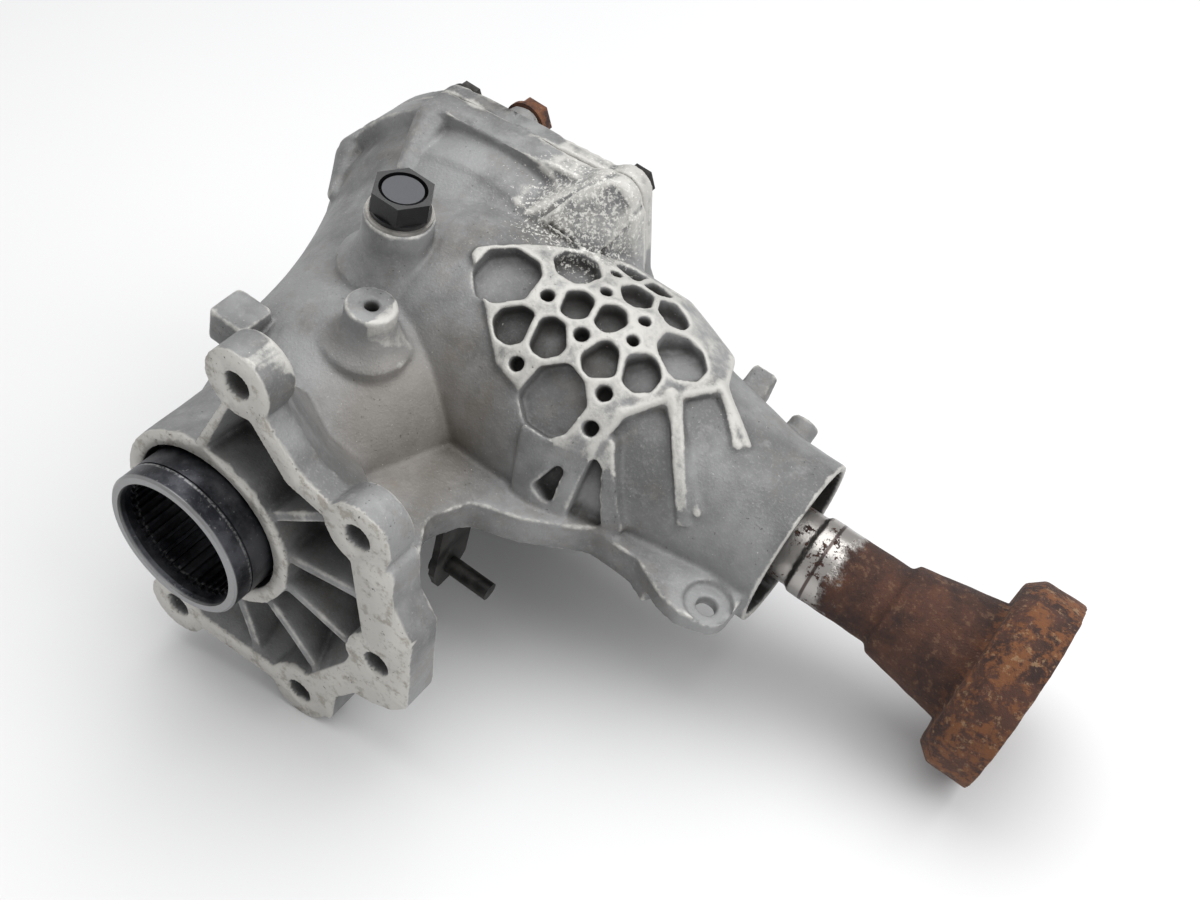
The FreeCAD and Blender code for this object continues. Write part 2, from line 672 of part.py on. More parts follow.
def cover_o_ring():
    middle_y, middle_r = JOINT_Y - SPIGOT_LENGTH / 2, SPIGOT_R - RING_CORD_R
    turns = [math.radians(45 * i + 22.5) for i in range(8)]
    return turned([(middle_y + RING_CORD_R * math.sin(t), middle_r + RING_CORD_R * math.cos(t)) for t in turns], INPUT)


def lip_seal(place, outer, inner, start, width):
    """Shaft seal: flat back, hollow front and a lip that runs on the shaft."""
    end = start + width
    wall = (outer - inner) * 0.28
    return turned([(start, outer), (end, outer), (end, outer - wall), (start + 3, outer - wall),
                   (start + 3, inner + wall), (end - 0.5, inner + 0.6), (end - 1.5, inner), (start, inner)], place)


def input_seal():
    return lip_seal(INPUT, SEAL_SEAT_R - FIT, SLEEVE_R + RUN, 9, 9)


def cover_seal():
    start = HUB_END - COVER_SEAL_WIDTH - 0.5
    return lip_seal(INPUT, COVER_SEAL_R - FIT, COVER_BEARING[0] - FIT + RUN, start, COVER_SEAL_WIDTH)


def output_seal():
    return lip_seal(OUTPUT, OUTPUT_SEAL_R - FIT, FLANGE_SEAL_R + RUN, OUTPUT_SEAL_X, OUTPUT_SEAL_WIDTH)


def filler_plug():
    x, y = PLUG_AT
    place = Placement(Vector(x, y, PLUG_BOSS_TOP), Rotation())
    body = join([disc(place, PLUG_THREAD_R, -16, PLUG_WASHER),
                 disc(place, PLUG_FLAT_R + 1, PLUG_WASHER, PLUG_WASHER + 2),
                 hexagon(place, PLUG_FLAT_R, PLUG_WASHER + 2, PLUG_WASHER + PLUG_HEAD)])
    return body.cut(disc(place, PLUG_GROOVE_R, PLUG_HEAD - 4, PLUG_HEAD + 3))


def filler_plug_insert():
    x, y = PLUG_AT
    place = Placement(Vector(x, y, PLUG_BOSS_TOP), Rotation())
    return disc(place, PLUG_DISC_R, PLUG_HEAD - 4, PLUG_WASHER + PLUG_HEAD - 0.5)


def filler_plug_washer():
    x, y = PLUG_AT
    place = Placement(Vector(x, y, PLUG_BOSS_TOP), Rotation())
    return tube(place, PLUG_FLAT_R + 2.2, PLUG_THREAD_R + 0.1, 0, PLUG_WASHER)


def drain_place():
    x, y = DRAIN_AT
    return axes(Vector(x, y, DRAIN_BOSS_END), -Z, X)


def drain_plug():
    place = drain_place()
    body = join([disc(place, DRAIN_THREAD_R, -14, 1.5), hexagon(place, 8.5, 1.5, 6.5)])
    return body.cut(hexagon(place, 3.5, 3, 7))


def drain_washer():
    return tube(drain_place(), 10.5, DRAIN_THREAD_R + 0.1, 0, 1.5)


def bracket():
    """Angle bracket: a foot under the web and a plate that hangs from it and carries the stud."""
    bottom = WEB_TOP - WEB_THICK
    y, z = STUD_AT
    foot = Part.makeBox(15, 22, BRACKET_PLATE, Vector(BRACKET_X - 15, y - 11, bottom - BRACKET_PLATE))
    side = axes(Vector(BRACKET_X - BRACKET_PLATE, y, bottom), X, Y)
    plate = rounded_prism([(-11, 0), (11, 0), (11, -BRACKET_DROP + 10), (4, -BRACKET_DROP), (-6, -BRACKET_DROP),
                           (-11, -BRACKET_DROP + 12)], 3, side, 0, BRACKET_PLATE)
    body = foot.fuse(plate).removeSplitter()
    hole = disc(axes(Vector(BRACKET_X, y, z), X, Y), STUD_KNURL_R + FIT, -10, 10)
    bolt_hole = boss_up(BRACKET_X - 10, y, 3.4, bottom - 5, bottom)
    return body.cut([hole, bolt_hole])


def bracket_stud():
    y, z = STUD_AT
    place = axes(Vector(BRACKET_X, y, z), X, Y)
    return join([disc(place, STUD_R, 0, STUD_LENGTH), disc(place, STUD_KNURL_R, -BRACKET_PLATE, 0),
                 disc(place, 7, -BRACKET_PLATE - 3, -BRACKET_PLATE)])


def bracket_bolt():
    y, z = STUD_AT
    place = axes(Vector(BRACKET_X - 10, y, WEB_TOP - WEB_THICK - BRACKET_PLATE), -Z, X)
    return flanged_bolt(place, 3.2, 13, 5)


def coupling_sleeve():
    body = turned([(-SLEEVE_OUT, SLEEVE_BORE_R + 0.8), (-SLEEVE_OUT, SLEEVE_R - 0.8), (-SLEEVE_OUT + 0.8, SLEEVE_R),
                   (SLEEVE_IN, SLEEVE_R), (SLEEVE_IN, SLEEVE_BORE_R), (-SLEEVE_OUT + 3, SLEEVE_BORE_R)], INPUT)
    groove = tube(INPUT, SLEEVE_R + 1, SLEEVE_R - 0.5, SLEEVE_GROOVE_Y, SLEEVE_GROOVE_Y + 0.8)
    snap = tube(INPUT, SLEEVE_BORE_R + 1, SLEEVE_BORE_R - 1, 32, 34.1)
    start = -SLEEVE_OUT + SPLINE_SET_BACK
    root, tip = SLEEVE_BORE_R + 0.3, SLEEVE_BORE_R - SPLINE_HEIGHT
    half = math.pi * SLEEVE_BORE_R / SPLINE_TEETH / 2
    tooth = prism([(root, -half), (tip, -half * 0.6), (tip, half * 0.6), (root, half)], INPUT, start,
                  start + SPLINE_LENGTH)
    return body.cut([groove, snap]).fuse(spaced(tooth, SPLINE_TEETH, INPUT))


def snap_ring():
    ring = tube(INPUT, SLEEVE_BORE_R + 1 - FIT, SLEEVE_BORE_R - 1 + FIT, 32.1, 34)
    return ring.cut(prism([(20, -3), (40, -3), (40, 3), (20, 3)], INPUT, 30, 36))


def hollow_shaft():
    seat, cover_seat = INPUT_BEARING[0] - FIT, COVER_BEARING[0] - FIT
    at, end = INPUT_BEARING_Y, INPUT_BEARING_Y + INPUT_BEARING[2]
    pilot = RING_BORE_R - FIT
    back = RING_BACK_Y + CARRIER_THICK
    body = turned([(TUBE_START, TUBE_BORE_R), (TUBE_START, SLEEVE_BORE_R - FIT), (at, SLEEVE_BORE_R - FIT), (at, seat),
                   (end, seat), (end, seat + 4.5), (end + 5, seat + 4.5), (end + 6, TUBE_R),
                   (RING_BACK_Y - 26, TUBE_R),
                   (RING_BACK_Y - 11, pilot), (RING_BACK_Y, pilot), (RING_BACK_Y, CARRIER_R), (back, CARRIER_R),
                   (back, seat + 4), (COVER_BEARING_Y, seat + 2), (COVER_BEARING_Y, cover_seat),
                   (TUBE_END, cover_seat), (TUBE_END, TUBE_BORE_R)], INPUT)
    cuts = [tube(INPUT, SLEEVE_BORE_R + 1, SLEEVE_BORE_R - 1, 32, 34.1)]
    hole = disc(axes(Vector(RING_BOLT_CIRCLE_R, 0, 0), Y, X), RING_BOLT_R + FIT, RING_BACK_Y - 1, back + 1)
    return body.cut(cuts + spaced(hole, RING_BOLTS, INPUT))


def module():
    return 2 * GEAR_MEAN / RING_TEETH


def gear_ratio():
    return PINION_TEETH / RING_TEETH


def solid_between(near, far):
    """Closed solid between two like polygons with flat faces between them."""
    count = len(near)
    faces = [near[::-1], far]
    for i in range(count):
        j = (i + 1) % count
        faces.append([near[i], near[j], far[j], far[i]])
    made = [Part.Face(Part.makePolygon(face + face[:1])) for face in faces]
    solid = Part.Solid(Part.Shell(made))
    if solid.Volume < 0:
        solid.reverse()
    return solid


def tooth_levels(buried):
    """(height over the pitch line, half width) of a tooth at the mean section, root first."""
    slope = math.tan(math.radians(PRESSURE_ANGLE))
    half = TOOTH_FILL * math.pi * GEAR_MEAN / RING_TEETH / 2
    root = -(DEDENDUM + buried) * module()
    tip = ADDENDUM * module()
    return [(root, half - root * slope * 0.5), (0, half), (tip, half - tip * slope * 1.25)]


def ring_tooth():
    sections = []
    for s in (GEAR_INNER, GEAR_OUTER):
        scale = s / GEAR_MEAN
        base = OUT_Y + s * gear_ratio()
        left = [Vector(s, base - height * scale, OUT_Z - half * scale) for height, half in tooth_levels(0.3)]
        right = [Vector(s, base - height * scale, OUT_Z + half * scale) for height, half in tooth_levels(0.3)]
        sections.append(left + right[::-1])
    return solid_between(*sections)


def ring_gear():
    inner, outer = math.hypot(GEAR_INNER, OUT_Z), math.hypot(GEAR_OUTER, OUT_Z)
    root = [OUT_Y + s * gear_ratio() + DEDENDUM * module() * s / GEAR_MEAN for s in (GEAR_INNER, GEAR_OUTER)]
    blank = turned([(root[0], inner), (root[1], outer), (root[1] + 1.5, outer + 1), (RING_BACK_Y, outer + 1),
                    (RING_BACK_Y, RING_BORE_R), (root[0] + 3, RING_BORE_R), (root[0] + 1, inner - 3)], INPUT)
    hole = disc(axes(Vector(RING_BOLT_CIRCLE_R, 0, 0), Y, X), RING_BOLT_R + FIT, RING_BACK_Y - 9, RING_BACK_Y + 1)
    toothed = blank.fuse(spaced(ring_tooth(), RING_TEETH, INPUT))
    return toothed.cut(spaced(hole, RING_BOLTS, INPUT))


def ring_gear_bolts():
    place = axes(Vector(RING_BOLT_CIRCLE_R, RING_BACK_Y + CARRIER_THICK, 0), Y, X)
    bolt = flanged_bolt(place, RING_BOLT_R, CARRIER_THICK + 8, 4.8)
    return Part.makeCompound(spaced(bolt, RING_BOLTS, INPUT))


def pinion_tooth(angle):
    turn = math.radians(angle)
    out = Vector(0, -math.sin(turn), math.cos(turn))
    side = Vector(0, math.cos(turn), math.sin(turn))
    sections = []
    for s in (GEAR_INNER - 1, GEAR_OUTER):
        scale = s / GEAR_MEAN
        centre = Vector(s, OUT_Y, OUT_Z)
        pitch = s * gear_ratio()
        left = [centre + out * (pitch + height * scale) - side * (half * scale) for height, half in tooth_levels(0.3)]
        right = [centre + out * (pitch + height * scale) + side * (half * scale) for height, half in tooth_levels(0.3)]
        sections.append(left + right[::-1])
    return solid_between(*sections)


def pinion_shaft():
    root = [s * gear_ratio() - DEDENDUM * module() * s / GEAR_MEAN for s in (GEAR_INNER - 1, GEAR_OUTER)]
    head_at, head_end = HEAD_BEARING_X, HEAD_BEARING_X + HEAD_BEARING[2]
    tail_at, tail_end = TAIL_BEARING_X, TAIL_BEARING_X + TAIL_BEARING[2]
    head, tail = HEAD_BEARING[0] - FIT, TAIL_BEARING[0] - FIT
    body = turned([(GEAR_INNER - 3, 0), (GEAR_INNER - 3, root[0] - 2), (GEAR_INNER - 1, root[0]), (GEAR_OUTER, root[1]),
                   (GEAR_OUTER + 1, PINION_SHOULDER_R), (head_at, PINION_SHOULDER_R + 1), (head_at, head),
                   (head_end, head), (head_end, tail + 1), (tail_at, tail + 1), (tail_at, tail), (tail_end, tail),
                   (tail_end, PINION_SPLINE_R), (FLANGE_SEAT_X, PINION_SPLINE_R), (FLANGE_SEAT_X, PINION_THREAD_R),
                   (PINION_END - 1.5, PINION_THREAD_R), (PINION_END, PINION_THREAD_R - 1.5), (PINION_END, 0)], OUTPUT)
    step = 360.0 / PINION_TEETH
    teeth = [pinion_tooth((i + 0.5) * step - 90) for i in range(PINION_TEETH)]
    return body.fuse(teeth)


def collapsible_spacer():
    start, end = HEAD_BEARING_X + HEAD_BEARING[2], TAIL_BEARING_X
    inner = TAIL_BEARING[0] + 1.1
    middle = (start + end) / 2
    return turned([(start, inner), (start, inner + 2), (middle - 8, inner + 2), (middle, inner + 4.5),
                   (middle + 8, inner + 2), (end, inner + 2), (end, inner), (middle + 7, inner),
                   (middle, inner + 2.5), (middle - 7, inner)], OUTPUT)


def output_flange():
    bore = PINION_SPLINE_R + FIT
    hub = TAIL_BEARING_X + TAIL_BEARING[2]
    body = turned([(hub, bore), (hub, FLANGE_SEAL_R), (FLANGE_NECK_X - 1, FLANGE_SEAL_R),
                   (FLANGE_NECK_X - 1, FLANGE_SEAL_R - 0.6), (FLANGE_NECK_X, FLANGE_SEAL_R - 0.6),
                   (FLANGE_NECK_X, FLANGE_NECK_R), (FLANGE_STEP_X - 1, FLANGE_NECK_R),
                   (FLANGE_STEP_X + 1, FLANGE_CONE_R), (FLANGE_BACK_X, FLANGE_CONE_END_R),
                   (FLANGE_BACK_X, FLANGE_R - FLANGE_CHAMFER), (FLANGE_BACK_X + FLANGE_CHAMFER + 1, FLANGE_R),
                   (FLANGE_FRONT_X, FLANGE_R), (FLANGE_FRONT_X, FLANGE_PILOT_R),
                   (FLANGE_FRONT_X - FLANGE_PILOT_DEPTH, FLANGE_PILOT_R),
                   (FLANGE_FRONT_X - FLANGE_PILOT_DEPTH, FLANGE_COUNTERBORE_R), (FLANGE_SEAT_X, FLANGE_COUNTERBORE_R),
                   (FLANGE_SEAT_X, bore)], OUTPUT)
    hole = disc(axes(Vector(0, OUT_Y, OUT_Z + FLANGE_HOLE_CIRCLE_R), X, Z), FLANGE_HOLE_R, FLANGE_FRONT_X - 15,
                FLANGE_FRONT_X + 1)
    return body.cut(spaced(hole, FLANGE_HOLES, OUTPUT))


def flange_washer():
    return tube(OUTPUT, NUT_FLAT_R + 2.5, PINION_THREAD_R + 0.1, FLANGE_SEAT_X, FLANGE_SEAT_X + 2)


def flange_nut():
    start = FLANGE_SEAT_X + 2
    return hexagon(OUTPUT, NUT_FLAT_R, start, start + NUT_THICK - 2).cut(
        disc(OUTPUT, PINION_THREAD_R + FIT, start - 1, start + NUT_THICK))


class TaperBearing:
    """Taper roller bearing. Its raceways and rollers all point at one apex on the axis."""

    def __init__(self, place, sizes, start, apex_ahead):
        self.bore, self.outer, self.width = sizes
        middle = start + self.width / 2
        along = Placement(Vector(0, 0, middle), Rotation(X, 0 if apex_ahead else 180))
        self.place = place.multiply(along)
        self.pitch_r = (self.bore + self.outer) / 2
        self.roller_r = ROLLER_SHARE * (self.outer - self.bore)
        self.apex = self.pitch_r / math.tan(math.radians(BEARING_ANGLE))
        self.reach = self.pitch_r / math.sin(math.radians(BEARING_ANGLE))
        self.taper = math.degrees(math.atan(self.roller_r / self.reach))
        self.count = int(2 * math.pi * self.pitch_r / (ROLLER_SPACING * self.roller_r))

    def race_r(self, z, angle):
        return (self.apex - z) * math.tan(math.radians(angle))

    def cup(self):
        half, angle = self.width / 2, BEARING_ANGLE + self.taper
        return turned([(-half, self.outer), (half, self.outer), (half, self.race_r(half, angle)),
                       (-half, self.race_r(-half, angle))], self.place)

    def cone(self):
        half, angle = self.width / 2, BEARING_ANGLE - self.taper
        return turned([(-half, self.bore), (half, self.bore), (half, self.race_r(half, angle)),
                       (-half, self.race_r(-half, angle))], self.place)

    def roller_axis(self):
        turn = math.radians(BEARING_ANGLE)
        along = Vector(-math.sin(turn), 0, math.cos(turn))
        return axes(Vector(self.pitch_r, 0, 0), along, Y)

    def roller(self, swell, share):
        """Tapered roller, thinner than its gap by the running clearance, or swollen as a cutter."""
        half = self.width * share / 2
        shrink = math.tan(math.radians(self.taper))
        back, front = ((self.reach + side) * shrink - RUN + swell for side in (half, -half))
        return self.roller_axis(), back, front, half

    def rollers(self):
        axis, back, front, half = self.roller(0, 0.74)
        turns = [2 * math.pi * i / ROLLER_SIDES for i in range(ROLLER_SIDES)]
        ends = [[Vector(r * math.cos(t), r * math.sin(t), z) for t in turns] for r, z in ((back, -half), (front, half))]
        one = put(solid_between(*ends), self.place.multiply(axis))
        return Part.makeCompound(spaced(one, self.count, self.place))

    def cage(self):
        half = self.width / 2
        angle = BEARING_ANGLE
        wall = CAGE_WALL / 2
        shell = turned([(-half, self.race_r(-half, angle) + wall), (half, self.race_r(half, angle) + wall),
                        (half, self.race_r(half, angle) - wall), (-half, self.race_r(-half, angle) - wall)],
                       self.place)
        axis, back, front, length = self.roller(0.25, 0.78)
        window = put(Part.makeCone(back, front, 2 * length, Vector(0, 0, -length)), self.place.multiply(axis))
        return shell.cut(spaced(window, self.count, self.place))


BEARINGS = {"input_bearing": TaperBearing(INPUT, INPUT_BEARING, INPUT_BEARING_Y, True),
            "cover_bearing": TaperBearing(INPUT, COVER_BEARING, COVER_BEARING_Y, False),
            "head_bearing": TaperBearing(OUTPUT, HEAD_BEARING, HEAD_BEARING_X, True),
            "tail_bearing": TaperBearing(OUTPUT, TAIL_BEARING, TAIL_BEARING_X, False)}

PARTS = {make.__name__: make for make in (
    main_housing, side_cover, cover_bolts, cover_boss_bolt, cover_o_ring, input_seal, cover_seal, output_seal,
    filler_plug, filler_plug_insert, filler_plug_washer, drain_plug, drain_washer, bracket, bracket_stud,
    bracket_bolt, coupling_sleeve, snap_ring, hollow_shaft, ring_gear, ring_gear_bolts, pinion_shaft,
    collapsible_spacer, output_flange, flange_washer, flange_nut)}
PARTS["dowels"] = lambda: Part.makeCompound(dowels())
for bearing_name, bearing in BEARINGS.items():
    for piece in ("cup", "cone", "rollers", "cage"):
        PARTS[bearing_name + "_" + piece] = getattr(bearing, piece)


def lie(shape):
    """Turn about the input axis to the attitude in which the unit rests on a floor."""
    turn = Placement(Vector(0, 0, 0), Rotation(Y, LIE_TILT))
    return put(shape, turn)


os.makedirs("parts", exist_ok=True)
for name, make in PARTS.items():
    lie(make()).exportStep("parts/" + name + ".step")
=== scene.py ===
import math

import bmesh
import bpy
import numpy as np
from mathutils import Matrix, Vector, noise


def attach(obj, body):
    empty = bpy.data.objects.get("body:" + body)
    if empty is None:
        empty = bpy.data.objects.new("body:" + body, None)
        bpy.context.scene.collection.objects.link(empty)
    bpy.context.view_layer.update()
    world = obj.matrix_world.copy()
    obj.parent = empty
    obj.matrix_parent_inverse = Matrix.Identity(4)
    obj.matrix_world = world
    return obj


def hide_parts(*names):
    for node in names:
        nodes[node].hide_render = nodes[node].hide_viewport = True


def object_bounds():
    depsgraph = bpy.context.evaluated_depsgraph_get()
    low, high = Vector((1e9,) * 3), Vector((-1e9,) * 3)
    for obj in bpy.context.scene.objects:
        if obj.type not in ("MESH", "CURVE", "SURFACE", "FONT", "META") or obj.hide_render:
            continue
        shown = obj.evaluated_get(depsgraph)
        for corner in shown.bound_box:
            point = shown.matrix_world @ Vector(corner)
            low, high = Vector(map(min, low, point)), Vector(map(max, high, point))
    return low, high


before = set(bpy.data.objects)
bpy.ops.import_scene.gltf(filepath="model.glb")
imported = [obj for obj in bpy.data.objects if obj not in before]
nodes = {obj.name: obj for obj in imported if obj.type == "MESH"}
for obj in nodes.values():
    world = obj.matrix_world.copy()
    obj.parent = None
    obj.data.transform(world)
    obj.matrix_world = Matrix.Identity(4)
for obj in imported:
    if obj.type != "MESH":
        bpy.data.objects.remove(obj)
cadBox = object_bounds()
millimetre = 0.001

# the input axis is Y through the origin; the output axis leaves it at right angles, tilted down
outputOrigin = Vector((0.00504, 0.1389, 0.01935))
outputAlong = Vector((0.96771, 0.0, -0.25207))
outputUpX, outputUpZ = 0.25207, 0.96771

# degrees by which the unit, as it lies on the table, is turned from its drawing round the input axis
layTurn = 14.6

# places of the finishes: a brown stain on the neck, salt on the corner's shoulder
neckStain = Vector((0.048, 0.068, 0.022))
shoulder = Vector((0.06, 0.17, 0.065))


class Wire:  # one value or colour in a material's tree
    def __init__(self, tree, socket):
        self.tree = tree
        self.socket = socket

    def maths(self, operation, first, second):
        made = self.tree.nodes.new("ShaderNodeMath")
        made.operation = operation
        for place, value in enumerate((first, second)):
            plugIn(self.tree, made.inputs[place], value)
        return Wire(self.tree, made.outputs[0])

    def __add__(self, other):
        return self.maths("ADD", self, other)

    def __sub__(self, other):
        return self.maths("SUBTRACT", self, other)

    def __rsub__(self, other):
        return self.maths("SUBTRACT", other, self)

    def __abs__(self):
        return self.maths("ABSOLUTE", self, 0.0)

    def __mul__(self, other):
        return self.maths("MULTIPLY", self, other)

    __radd__ = __add__
    __rmul__ = __mul__


def plugIn(tree, socket, value):
    if isinstance(value, Wire):
        tree.links.new(value.socket, socket)
    elif hasattr(socket.default_value, "__len__") and len(socket.default_value) == 4:
        socket.default_value = (*value, 1.0)
    else:
        socket.default_value = value


class Finish:  # a material being made
    def __init__(self, name):
        self.material = bpy.data.materials.new(name)
        self.material.use_nodes = True
        self.tree = self.material.node_tree
        self.tree.nodes.clear()
        self.where = self.node("TexCoord", output="Object")

    def node(self, kind, settings=None, inputs=None, output=0):
        made = self.tree.nodes.new("ShaderNode" + kind)
        for key, value in (settings or {}).items():
            setattr(made, key, value)
        for key, value in (inputs or {}).items():
            plugIn(self.tree, made.inputs[key], value)
        return Wire(self.tree, made.outputs[output])

    def noise(self, size, detail=3.0, rough=0.55):  # size is the blotches' width in metres
        settings = {"Vector": self.where, "Scale": 1 / size, "Detail": detail, "Roughness": rough}
        return self.node("TexNoise", None, settings)

    def step(self, value, low, high):  # 0 below low, 1 above high, smooth between
        settings = {"Value": value, "From Min": low, "From Max": high}
        return self.node("MapRange", {"interpolation_type": "SMOOTHSTEP"}, settings)

    def mix(self, share, first, second):
        return self.node("Mix", {"data_type": "RGBA"}, {0: share, 6: first, 7: second}, 2)

    def stored(self, name):  # a number kept at each point of the mesh
        return self.node("Attribute", {"attribute_name": name}, None, "Fac")

    def occlusionShade(self, distance):  # painted shade from ambient occlusion: 1 in a deep corner, 0 in the open
        unsheltered = self.node("AmbientOcclusion", {"samples": 6}, {"Distance": distance}, "AO")
        return 1 - unsheltered

    def bump(self, height, distance):
        return self.node("Bump", None, {"Height": height, "Distance": distance, "Strength": 1.0})

    def place(self, axis):  # the distance along a direction
        direction = {0: self.where, 1: tuple(axis)}
        return self.node("VectorMath", {"operation": "DOT_PRODUCT"}, direction, "Value")

    def near(self, centre, reach):  # 1 at a point of the part, 0 beyond its reach
        apart = self.node("VectorMath", {"operation": "DISTANCE"}, {0: self.where, 1: tuple(centre)}, "Value")
        return 1 - self.step(apart, 0.3 * reach, reach)

    def surface(self, inputs):
        shader = self.node("BsdfPrincipled", None, inputs)
        out = self.tree.nodes.new("ShaderNodeOutputMaterial")
        self.tree.links.new(shader.socket, out.inputs["Surface"])
        return self.material


def meshOf(piece):  # the mesh with its modifiers applied
    seen = piece.evaluated_get(bpy.context.evaluated_depsgraph_get())
    return bpy.data.meshes.new_from_object(seen)


def pointsOf(mesh):
    flat = np.empty(len(mesh.vertices) * 3, np.float32)
    mesh.vertices.foreach_get("co", flat)
    return flat.reshape(-1, 3).astype(float)


def movePoints(mesh, points):
    mesh.vertices.foreach_set("co", points.astype(np.float32).ravel())
    mesh.update()


def normalsOf(mesh):
    flat = np.empty(len(mesh.vertices) * 3, np.float32)
    mesh.vertex_normals.foreach_get("vector", flat)
    return flat.reshape(-1, 3).astype(float)


def neighboursIn(mesh):  # the two points of each edge
    pairs = np.empty(len(mesh.edges) * 2, np.int32)
    mesh.edges.foreach_get("vertices", pairs)
    return pairs.reshape(-1, 2).T


def relax(points, pairs, rounds, share=None):  # each round moves a point halfway to its neighbours' middle
    first, second = pairs
    count = len(points)
    ends = np.bincount(first, minlength=count) + np.bincount(second, minlength=count)
    for _ in range(rounds):
        middle = np.stack([np.bincount(first, points[second, k], count)
                           + np.bincount(second, points[first, k], count) for k in range(3)], 1)
        move = (middle / np.maximum(ends, 1)[:, None] - points) * 0.5
        points = points + (move if share is None else move * share[:, None])
    return points


def keep(mesh, name, values):
    made = mesh.attributes.new(name, "FLOAT", "POINT")
    made.data.foreach_set("value", np.asarray(values, np.float32))


def alongOutput(points):  # distance along the output axis, and from it
    offset = points - np.array(outputOrigin)
    along = offset @ np.array(outputAlong)
    return along, np.linalg.norm(offset - along[:, None] * np.array(outputAlong), axis=1)


def aroundInput(y, angle, radius):  # a place given as in the drawing, by its angle round the input axis
    turn = math.radians(angle - layTurn)
    return Vector((radius * math.cos(turn), y, radius * math.sin(turn))) * millimetre


def acrossInput(y, x, z):  # the same, given by its distances across the input axis
    return aroundInput(y, math.degrees(math.atan2(z, x)), math.hypot(x, z))


def onNose(along, angle, radius):
    turn = math.radians(angle)
    out = Vector((outputUpX * math.cos(turn), -math.sin(turn), outputUpZ * math.cos(turn)))
    return outputOrigin + (outputAlong * along + out * radius) * millimetre


# the lattice's rib tops, at one distance from the output axis until they fade into the nose
ribTops = {"radius": 60.0, "drop": 18.5, "fadeFrom": 94.0, "fadeLength": 58.0}


def latticeRadius(along):
    faded = np.clip((along - ribTops["fadeFrom"]) / ribTops["fadeLength"], 0, 1)
    return ribTops["radius"] - ribTops["drop"] * faded


def onLattice(spot, depth):  # under the rib tops, at a distance along the nose and an angle round it
    along, angle = spot
    return onNose(along, angle, latticeRadius(along) - depth)


def hull(made, corners):
    points = [made.verts.new(corner) for corner in corners]
    bmesh.ops.convex_hull(made, input=points)


def bar(made, start, end, startRadius, endRadius):  # rounded bar between two points
    corners = []
    for centre, radius in ((start, startRadius), (end, endRadius)):
        for tilt in (-60, -20, 20, 60):
            for turn in range(0, 360, 30):
                flat = math.cos(math.radians(tilt))
                spot = Vector((flat * math.cos(math.radians(turn)), flat * math.sin(math.radians(turn)),
                               math.sin(math.radians(tilt))))
                corners.append(centre + spot * radius * millimetre)
    hull(made, corners)


# the rim's straight edges above and beside its corner, in millimetres across the input axis
rimEdges = (((-41.6, 84.9), (46, 93), (48, 84), (-36, 77)),
            ((58.2, 89.3), (68.9, 48.5), (62, 52), (50, 84)))


def straightEdges(made, start, end):
    for outline in rimEdges:
        hull(made, [acrossInput(y, x, z) for y in (start, end) for x, z in outline])


# the housing's corner shoulder, in degrees and millimetres round the input axis
cornerShoulder = {"low": ((75, 78.5), (67, 80), (57, 80), (44, 78.5), (44, 77), (75, 77)), "lowAt": 155,
                  "high": ((78, 85), (67, 105), (55, 106), (37, 87), (37, 82), (78, 82)), "highAt": (179, 187.9)}

# the run-outs of the cover bolts' bosses: each end's place along the input axis, distance from it and thickness
bossRunOut = {"angles": (118.0, 157.0, 205.0, 247.0, 284.6, 322.0, 10.0),
              "start": (151, 76.5, 3.2), "end": (174, 86.3, 8.2)}

# ribs that run from the lattice along the nose, and the lattice's raised lower rim
runningRibs = {"spots": (((118, 17), (151, 57)), ((130, -6), (152, 9))),
               "startDepth": 1.5, "endDepth": 2.0, "startRadius": 3.4, "endRadius": 2.4}
latticeRim = {"spots": ((106, 55), (108, 36), (119, 17), (131, -7), (124, -31)), "depth": 1.4, "radius": 2.6}

housingEdges = (176, 187.9)
coverEdges = (188.1, 196)


def housingForms(made):
    low = [aroundInput(cornerShoulder["lowAt"], *spot) for spot in cornerShoulder["low"]]
    high = [aroundInput(y, *spot) for y in cornerShoulder["highAt"] for spot in cornerShoulder["high"]]
    hull(made, low + high)
    straightEdges(made, *housingEdges)
    startY, startOut, startRadius = bossRunOut["start"]
    endY, endOut, endRadius = bossRunOut["end"]
    for angle in bossRunOut["angles"]:
        start, end = aroundInput(startY, angle, startOut), aroundInput(endY, angle, endOut)
        bar(made, start, end, startRadius, endRadius)
    for first, last in runningRibs["spots"]:
        start, end = onLattice(first, runningRibs["startDepth"]), onLattice(last, runningRibs["endDepth"])
        bar(made, start, end, runningRibs["startRadius"], runningRibs["endRadius"])
    spots = [onLattice(spot, latticeRim["depth"]) for spot in latticeRim["spots"]]
    for start, end in zip(spots, spots[1:]):
        bar(made, start, end, latticeRim["radius"], latticeRim["radius"])


def coverForms(made):
    straightEdges(made, *coverEdges)


# the rim's top edge: its direction outwards, its height and the stretch that is flat
topEdge = {"outX": -0.093, "outZ": 0.9957, "height": 88.3, "from": 158, "middle": 2, "half": 34}


def flattenTop(points):  # the rim's top edge is straight, also where the dome swells
    x, _, z = acrossInput(0, topEdge["outX"], topEdge["outZ"]) / millimetre
    height = points[:, 0] * x + points[:, 2] * z - topEdge["height"] * millimetre
    across = points[:, 0] * z - points[:, 2] * x
    beside = np.abs(across - topEdge["middle"] * millimetre) < topEdge["half"] * millimetre
    top = (height > 0) & (points[:, 1] > topEdge["from"] * millimetre) & beside
    points[:, 0] -= np.where(top, height * x, 0)
    points[:, 2] -= np.where(top, height * z, 0)
    return points


# the slope under the corner boss: its foot and rise, where it reaches, and how far it keeps from the nose
slope = {"foot": 80.5, "footAt": 154.0, "rise": 1.06, "from": 140, "to": 179, "angleFrom": 36, "angleTo": 82,
         "least": 79.0, "clearOfNose": 61.5}


